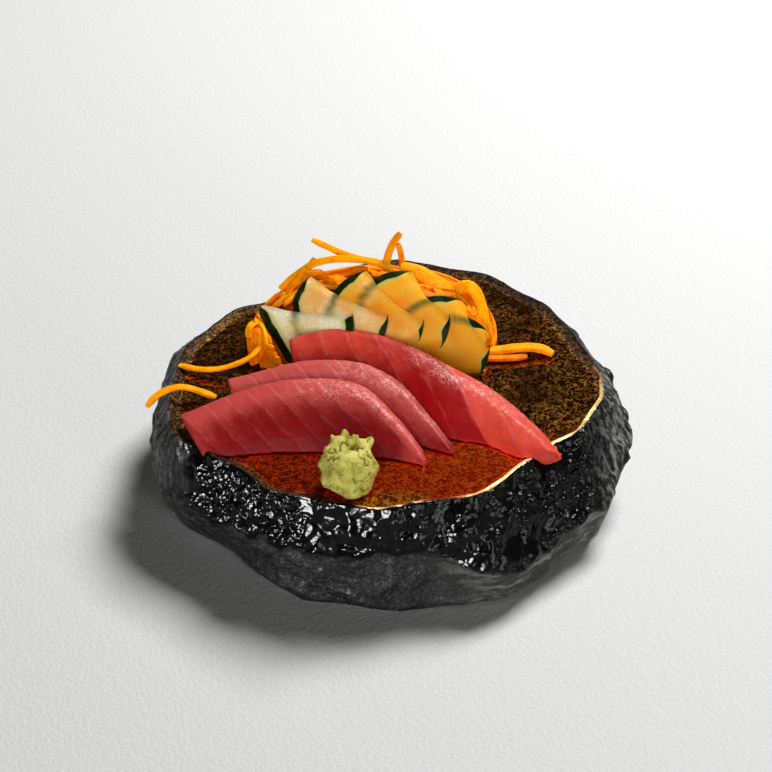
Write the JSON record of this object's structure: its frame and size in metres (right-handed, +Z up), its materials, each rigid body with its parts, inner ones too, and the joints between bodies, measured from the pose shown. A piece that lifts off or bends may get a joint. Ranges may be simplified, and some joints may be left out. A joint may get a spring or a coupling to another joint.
{
  "type": "sashimi plate",
  "caption": "Thick rough stone-look plate dressed with leaning slices of raw tuna, a fan of cucumber slices, a heap of carrot shreds and a ball of wasabi.",
  "frame": {"origin": "middle of the whole dish's outline, on the table that it stands on", "axes": "+Z up; +X to the right and -Y towards the diner, who has the wasabi nearest"},
  "size_m": [0.1719, 0.1673, 0.0813],
  "materials": {
    "stone": "black chipped sides with a wet gloss, speckled brown glaze on the flat top",
    "tuna": "moist raw fish with pale muscle lines",
    "cucumber": "thin translucent flesh with a dark green striped rind",
    "carrot": "fresh cut shreds, slightly moist",
    "wasabi": "rough pressed paste"
  },
  "bodies": {
    "root": {"rock_plate": "stone", "tuna_slice_1": "tuna", "tuna_slice_2": "tuna", "tuna_slice_3": "tuna", "cucumber_slice_1": "cucumber", "cucumber_slice_2": "cucumber", "cucumber_slice_3": "cucumber", "cucumber_slice_4": "cucumber", "cucumber_slice_5": "cucumber", "cucumber_slice_6": "cucumber", "carrot_heap": "carrot", "wasabi": "wasabi"}
  },
  "joints": []
}
